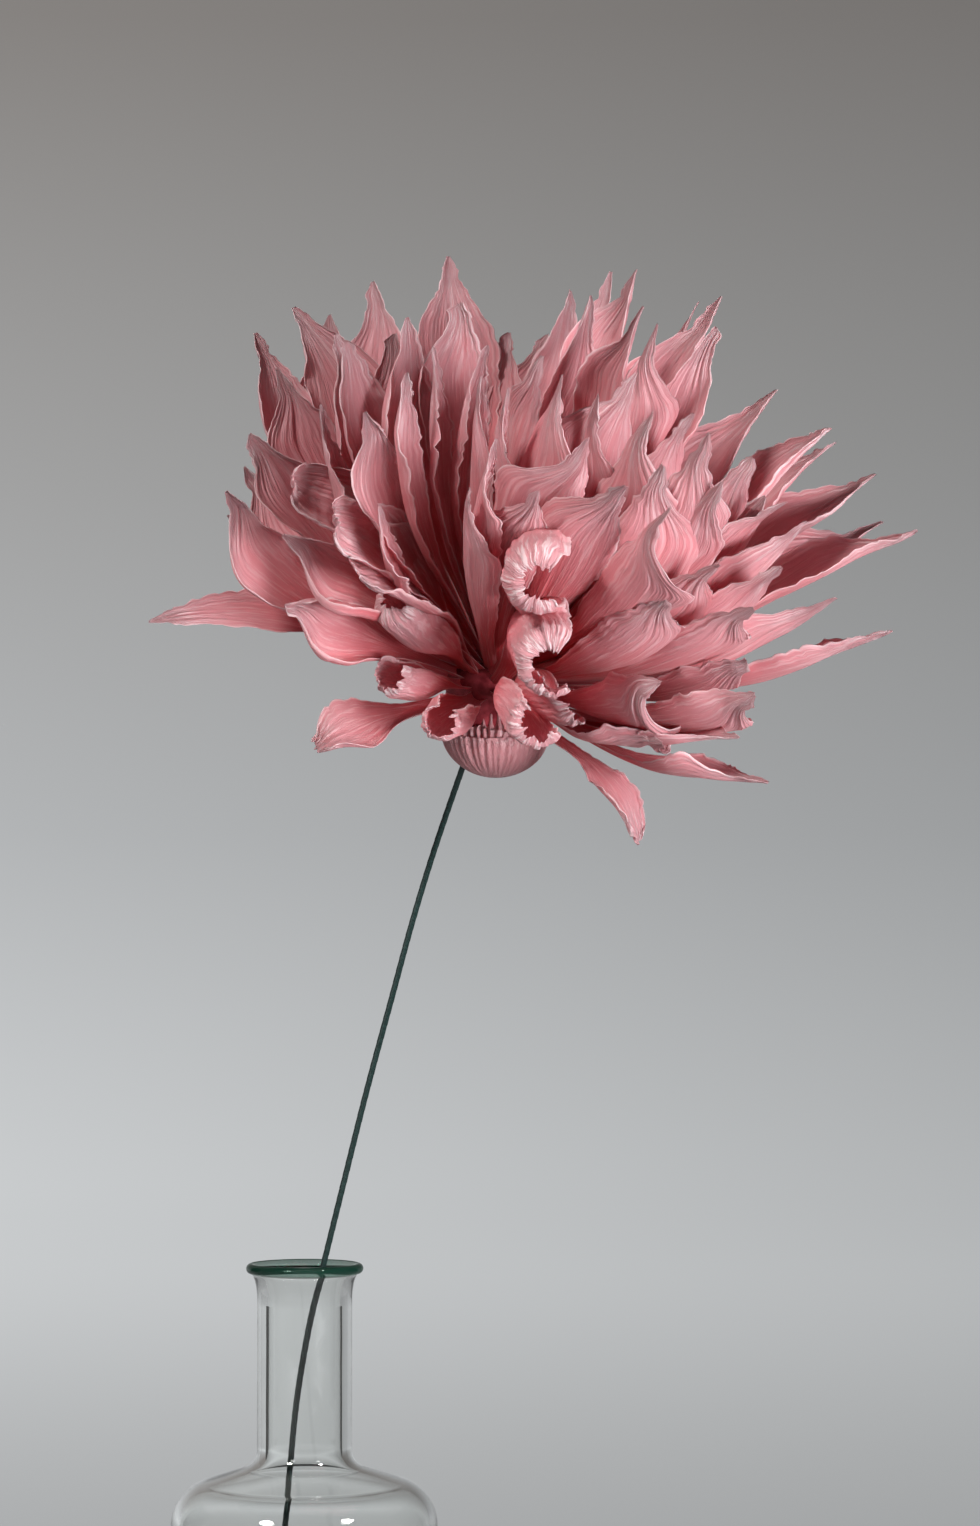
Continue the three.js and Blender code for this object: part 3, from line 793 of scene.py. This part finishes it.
def petal_grid(shape, tilt, azimuth, reach, seed):
    """A petal's middle surface. Its centre line turns by bend and recurve and is then set so that its end
    lies at the wanted tilt, azimuth and reach. Across it, each section is a curve as long as the blade is
    wide there, which turns by wrap and, near its two ends, by rim. The horn lies aside of the centre line,
    by cut. Past lip_from, the surface turns inwards round a small circle. Crinkles, waves and dents move it
    along its normal, and teeth, horn and round move its end along its length."""
    chance = np.random.default_rng(seed).uniform(-1, 1, 14)
    t = 1 - (1 - np.linspace(0, 1, PETAL_ROWS)) ** 1.5
    u = np.linspace(-1, 1, PETAL_COLUMNS)[None, :]
    foot = BALL_RADIUS - FOOT_DEPTH
    lip = max(math.radians(shape["lip"]), 1e-3)
    lip_turn = lip * np.clip((t - shape["lip_from"]) / (1 - shape["lip_from"]), 0, 1)
    lip_radius = (1 - shape["lip_from"]) / lip
    ahead = np.minimum(t, shape["lip_from"]) + lip_radius * np.sin(lip_turn)
    turn = math.radians(shape["bend"] * (1 + 0.3 * chance[0])) * ease(shape["bend_from"], 0.95, ahead)
    turn -= math.radians(shape["recurve"] * (1 + 0.8 * chance[1])) * ease(0.76, 1.0, ahead)
    drift = shape["sway"] * chance[2] * 1.5 * ease(0.45, 1.0, ahead)
    heading = np.stack([np.cos(turn), np.sin(turn), 0 * turn], -1)
    steps = (heading[1:] + heading[:-1]) / 2 * np.diff(ahead)[:, None]
    line = np.concatenate([[np.zeros(3)], np.cumsum(steps, axis=0)])
    line[:, 2] = drift
    chord = line[np.argmax(ahead)] / np.linalg.norm(line[np.argmax(ahead)])
    cross = np.cross(chord, [0.0, 1.0, 0.0])
    basis = np.stack([chord, np.cross(cross, chord), cross])
    basis /= np.linalg.norm(basis, axis=1)[:, None]
    length = (reach - foot) / np.linalg.norm(line[np.argmax(ahead)])
    line = (line * length) @ basis.T
    heading = heading @ basis.T
    inward = np.stack([-np.sin(turn), np.cos(turn), 0 * turn], -1) @ basis.T
    sideways = np.cross(heading, inward)
    roll = shape["roll"] + 8 * chance[3]
    roll += sum(most * max(0, math.cos(math.radians(azimuth - side))) for side, most in TURNED.items())
    roll = math.radians(roll) * ease(0.0, 0.7, t)
    roll = (roll + math.radians(shape["twist"] * 2 * chance[4]) * ease(0.6, 1.0, t))[:, None]
    sideways, inward = (
        np.cos(roll) * sideways + np.sin(roll) * inward,
        np.cos(roll) * inward - np.sin(roll) * sideways,
    )

    t = t[:, None]
    mm_along = t * length
    shorter = min(1.0, (reach / FULL_REACH) ** shape["shrink"])
    blade = shape["width"] / 2 * shorter * (1 + 0.08 * chance[5])
    belly = shape["belly"] + 0.03 * chance[6]
    neck = shape["neck"] + 0.03 * chance[9]
    past = np.clip((t - neck) / (1 - neck), 0, 1)
    narrow = (1 - shape["quill"]) * ease(belly, neck, t) + (shape["quill"] - shape["end"]) * past
    full = shape["foot"] + (blade - shape["foot"]) * ease(0.06, belly, t) ** shape["stalk"]
    half = full * (1 - narrow)
    aside = np.sign(chance[7] + 0.6) * shape["cut"] * (0.8 + 0.4 * chance[11]) * full * narrow
    offset = 11 * seed % 83 + 20 * (u > 0)
    nibbled = lattice_noise(mm_along / 0.9 + offset, 0 * t + 3.3)
    nibbled = nibbled + 0.9 * lattice_noise(mm_along / 3.1, 0 * t + offset)
    nibbled = nibbled * (0.45 + 0.8 * ease(0.55, 0.8, t)) * ease(0.2, 0.5, t) * ease(0.8, 2.5, half)
    half = half + nibbled * np.abs(u)

    wraps = np.radians(np.array(shape["wrap"]) * (1 + 0.10 * chance[8]))
    wrap = wraps[0] + (wraps[1] - wraps[0]) * ease(0.1, belly, t)
    wrap = wrap + (wraps[2] - wraps[1]) * ease(belly - 0.06, neck, t)
    wrap = wrap + (wraps[3] - wraps[2]) * ease(neck - 0.05, 1.0, t)
    rim = math.radians(shape["rim"] * (1 + 0.4 * chance[10])) * ease(0.2, 0.6, t)
    angle = (aside + u * half) / full * wrap + rim * (ease(0.5, 1.0, u) - ease(0.5, 1.0, -u))
    angle = angle + u * math.radians(shape["horn_curl"]) * narrow**2
    bow = full / wrap
    middle_across = bow * np.sin(aside / full * wrap)
    middle_deep = bow * (1 - np.cos(aside / full * wrap))
    across = middle_across - t * middle_across[-1] + sine_sum(angle + math.pi / 2, half)
    deep = middle_deep - t * middle_deep[-1] + sine_sum(angle, half)
    centred = shape["centred"] * ease(0.0, 0.6, t)
    across = across - centred * across.mean(axis=1)[:, None]
    deep = deep - centred * deep.max(axis=1)[:, None] / 2

    taper = np.clip(half / blade * 1.6, 0.15, 1)
    crinkle_place = (u + 1) * blade / 1.15 + 17.3 * seed
    ridge = 1 - 2 * np.abs(lattice_noise(crinkle_place, mm_along / 20 + seed * 1.7))
    fine = lattice_noise(crinkle_place * 2.3, mm_along / 9 + seed * 0.7)
    gather = 0.12 + 1.2 * ease(belly - 0.08, neck, t) + 0.4 * np.abs(u) ** 3
    gather = gather + 0.3 * (1 - ease(0.05, 0.45, t))
    relief = (0.34 * ridge + 0.12 * fine) * gather * taper
    wave = lattice_noise(mm_along / 5.5 + offset, 0 * t + 9.1)
    wave = wave + 0.5 * lattice_noise(mm_along / 2.2 + offset, 0 * t + 4.7)
    relief = relief + EDGE_WAVE * wave * np.abs(u) ** 4 * ease(0.35, 0.6, t) * taper
    dents = lattice_noise(mm_along / 24 + offset, (u + 1) * 1.2 + seed)
    relief = relief + 0.8 * dents * ease(0.2, 0.5, t) * taper
    teeth = 0.4 * lattice_noise(crinkle_place * 2.2, 0 * t + 2.2)
    teeth = teeth + 0.5 * lattice_noise(crinkle_place * 0.7, 0 * t + 5.2)
    shift = teeth * ease(0.9, 1.0, t) * min(1.0, 1.6 * shape["end"]) * 1.8
    shift = shift + (shape["horn"] * u - shape["round"] * u**2) * ease(0.55, 1.0, t)

    out = np.cos(angle)[..., None] * inward[:, None] - np.sin(angle)[..., None] * sideways[:, None]
    lip_turn = lip_turn[:, None, None]
    normal = np.cos(lip_turn) * out - np.sin(lip_turn) * heading[:, None]
    onward = np.cos(lip_turn) * heading[:, None] + np.sin(lip_turn) * out
    local = line[:, None] + across[..., None] * sideways[:, None] + deep[..., None] * inward[:, None]
    local = local + lip_radius * length * (1 - np.cos(lip_turn)) * out
    local = local + relief[..., None] * normal + shift[..., None] * onward
    tilt, azimuth = math.radians(tilt), math.radians(azimuth)
    outward = math.cos(azimuth) * SIDE + math.sin(azimuth) * BACK
    along = math.cos(tilt) * AXIS + math.sin(tilt) * outward
    towards_axis = math.sin(tilt) * AXIS - math.cos(tilt) * outward
    place = np.stack([along, towards_axis, np.cross(along, towards_axis)])
    middle = HEAD + foot * along + local @ place
    thickness = PAPER * (1 - 0.5 * np.abs(u) ** 6) * np.clip(half / 2, 0.5, 1)
    return middle, normal @ place, thickness


def make_petal(name, kind, tilt, azimuth, reach, seed, changes):
    """One petal: its kind's shape with its own changes, given the paper's thickness."""
    shape = POINTED | KINDS[kind] | changes
    middle, normal, thickness = petal_grid(shape, tilt, azimuth, reach, seed)
    grid = sheet(middle, normal, thickness)
    piece = surface(name, grid * MM, sheet_uv(*middle.shape[:2]), PETAL_PINK)
    set_tone(piece, (seed * 0.6180339) % 1.0)
    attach(piece, "root")
    return piece


FLAT = {"width": 24.0, "wrap": (50, 30, 30, 40), "rim": 0, "belly": 0.8, "neck": 0.97}
FLAT = FLAT | {"cut": 0.15, "twist": 0}
FOLDED = {"width": 36.0, "wrap": (62, 112, 138, 150), "roll": -25, "round": 3, "lip": 95}
GATHERED = {"width": 22.0, "rim": 85, "shrink": 0.0, "roll": 34, "bend": -6, "stalk": 3.0}
DROOPING = {"roll": -15, "width": 16.0, "end": 0.6, "cut": 0.1, "stalk": 5.0, "round": 2}
CLOSED = (62, 130, 160, 160)
# Each row's petals: kind, tilt from the head's axis, azimuth round it, reach to the tip, and what is
# special about it. The first ones stand for the frame's petals, in order; the rest lie between them.
ROWS = {
    "crown": [
        ("slim", 6, 60, 107, {"width": 18.0}),
        ("slim", 14, 103, 103, {}),
        ("pointed", 11, 205, 95, {}),
        ("pointed", 11, 285, 102, {}),
        ("slim", 18, 39, 108, {"width": 19.0}),
        ("slim", 5, 325, 109, {"width": 19.0}),
        ("pointed", 17, 317, 99, {"width": 20.0}),
        ("pointed", 16, 263, 99, {}),
        ("pointed", 15, 241, 99, {}),
        ("slim", 18, 182, 94, {}),
    ],
    "upper": [
        ("slim", 23, 82, 112, {}),
        ("slim", 30, 59, 116, {"width": 19.0}),
        ("pointed", 27, 142, 98, {}),
        ("slim", 26, 186, 96, {}),
        ("slim", 21, 226, 96, {}),
        ("pointed", 26, 264, 101, {}),
        ("pointed", 30, 305, 102, {}),
        ("pointed", 26, 339, 96, {}),
        ("slim", 22, 212, 95, {}),
        ("pointed", 20, 285, 104, {}),
        ("pointed", 28, 287, 102, {}),
        ("pointed", 24, 302, 107, {}),
        ("pointed", 31, 162, 98, {}),
        ("slim", 31, 198, 96, {}),
        ("slim", 31, 240, 98, {}),
    ],
    "middle": [
        ("pointed", 37, 17, 108, {}),
        ("slim", 43, 69, 120, {"width": 19.0}),
        ("slim", 36, 87, 114, {"width": 19.0}),
        ("pointed", 41, 141, 93, {}),
        ("pointed", 39, 172, 98, {}),
        ("pointed", 39, 202, 93, {"width": 24.0}),
        ("slim", 37, 239, 89, {}),
        ("pointed", 34, 275, 106, {}),
        ("pointed", 40, 305, 93, {}),
        ("pointed", 38, 338, 98, {}),
        ("pointed", 34, 256, 93, {"width": 22.0}),
        ("curl", 46, 262.4, 84, {"roll": 55, "bend": -44, "width": 42.0, "lip": 98}),
        ("pointed", 36, 285, 107, {}),
        ("pointed", 34, 334, 98, {}),
        ("pointed", 33, 353, 88, {}),
        ("pointed", 43, 160, 98, {}),
        ("slim", 45, 184, 90, {"width": 20.0}),
        ("slim", 46, 218, 80, {"width": 20.0}),
    ],
    "outer": [
        ("pointed", 54, 10, 115, {}),
        ("pointed", 49, 33, 111, {}),
        ("pointed", 53, 53, 118, {}),
        ("pointed", 51, 91, 119, {}),
        ("broad", 50, 113, 120, FLAT),
        ("pointed", 53, 126, 114, {}),
        ("pointed", 54, 160, 97, {}),
        ("scoop", 56, 194, 82, {"width": 25.0, "roll": 12, "bend": -30, "bend_from": 0.4, "lip": 70}),
        ("scoop", 54, 211, 80, {"width": 25.0, "roll": 18, "bend": -40, "bend_from": 0.4, "lip": 70}),
        ("tube", 57, 217, 52, FOLDED),
        ("pointed", 44, 294, 85, {}),
        ("pointed", 47, 312, 93, {}),
        ("pointed", 51, 344, 94, {}),
        ("pointed", 51, 101, 102, {}),
        ("pointed", 42, 323, 95, {}),
        ("curl", 56, 271, 70, {"roll": 66, "width": 40.0, "bend": -36, "lip": 98, "horn": 3.5}),
    ],
    "lower": [
        ("pointed", 65, 32, 120, {}),
        ("pointed", 69, 70, 112, {}),
        ("pointed", 68, 115, 121, {}),
        ("pointed", 67, 137, 117, {}),
        ("pointed", 65, 187, 88, {"rim": 40}),
        ("pointed", 62, 200, 77, {"rim": 70, "width": 29.0, "shrink": 0.0, "bend": -20}),
        ("scoop", 57, 216, 70, {"roll": 10, "width": 29.0, "bend": -44, "bend_from": 0.4}),
        ("pointed", 57, 300, 72, {"width": 30.0, "shrink": 0.0, "rim": 40}),
        ("pointed", 60, 315, 86, {"width": 27.0, "shrink": 0.0}),
        ("pointed", 60, 352, 103, {}),
        ("pointed", 57, 32, 119, {}),
        ("pointed", 61, 91, 118, {}),
        ("pointed", 65, 124, 119, {}),
        ("pointed", 56, 142, 111, {}),
        ("pointed", 59, 175, 90, {}),
        ("pointed", 55, 319, 81, {}),
        ("scoop", 65, 286, 52, {"roll": 25, "bend": -10, "width": 24.0}),
        ("pointed", 70, 160, 84, {}),
        ("pointed", 74, 128, 98, {}),
        ("pointed", 75, 88, 98, {}),
    ],
    "rolled": [
        ("tube", 83, 249, 43, {"width": 25.0, "wrap": CLOSED, "roll": -12, "round": 2, "lip": 50}),
        ("curl", 72, 276, 52, {"roll": 25, "width": 25.0, "wrap": (52, 84, 100, 100), "bend": -10}),
        ("pointed", 73, 204, 67, GATHERED),
        ("pointed", 70, 306, 66, {"width": 22.0, "shrink": 0.0, "rim": 20, "roll": -25}),
        ("pointed", 68, 317, 79, {"width": 22.0, "shrink": 0.0, "roll": -30}),
        ("tube", 78, 224, 42, {"width": 27.0, "wrap": CLOSED, "roll": -35, "round": 3, "lip": 50}),
    ],
    "lowest": [
        ("pointed", 76, 322, 84, {"width": 23.0, "shrink": 0.0, "roll": -12, "stalk": 5.0}),
        ("pointed", 84, 58, 100, {}),
        ("pointed", 85, 104, 100, {}),
        ("pointed", 84, 152, 84, {}),
    ],
    "stray": [("stray", 93, 184, 88, {})],
    "drooping": [("spoon", 96, 311, 61, DROOPING), ("spoon", 111, 211, 49, {})],
}
for row_number, (row, petals) in enumerate(ROWS.items()):
    in_frame = sum(node.startswith(row + "_petal_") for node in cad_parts)
    for number, (kind, tilt, azimuth, reach, changes) in enumerate(petals, 1):
        seed = 31 * row_number + number
        petal = make_petal(f"{row}_crepe_petal_{number}", kind, tilt, azimuth, reach, seed, changes)
        if number <= in_frame:
            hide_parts(f"{row}_petal_{number}")
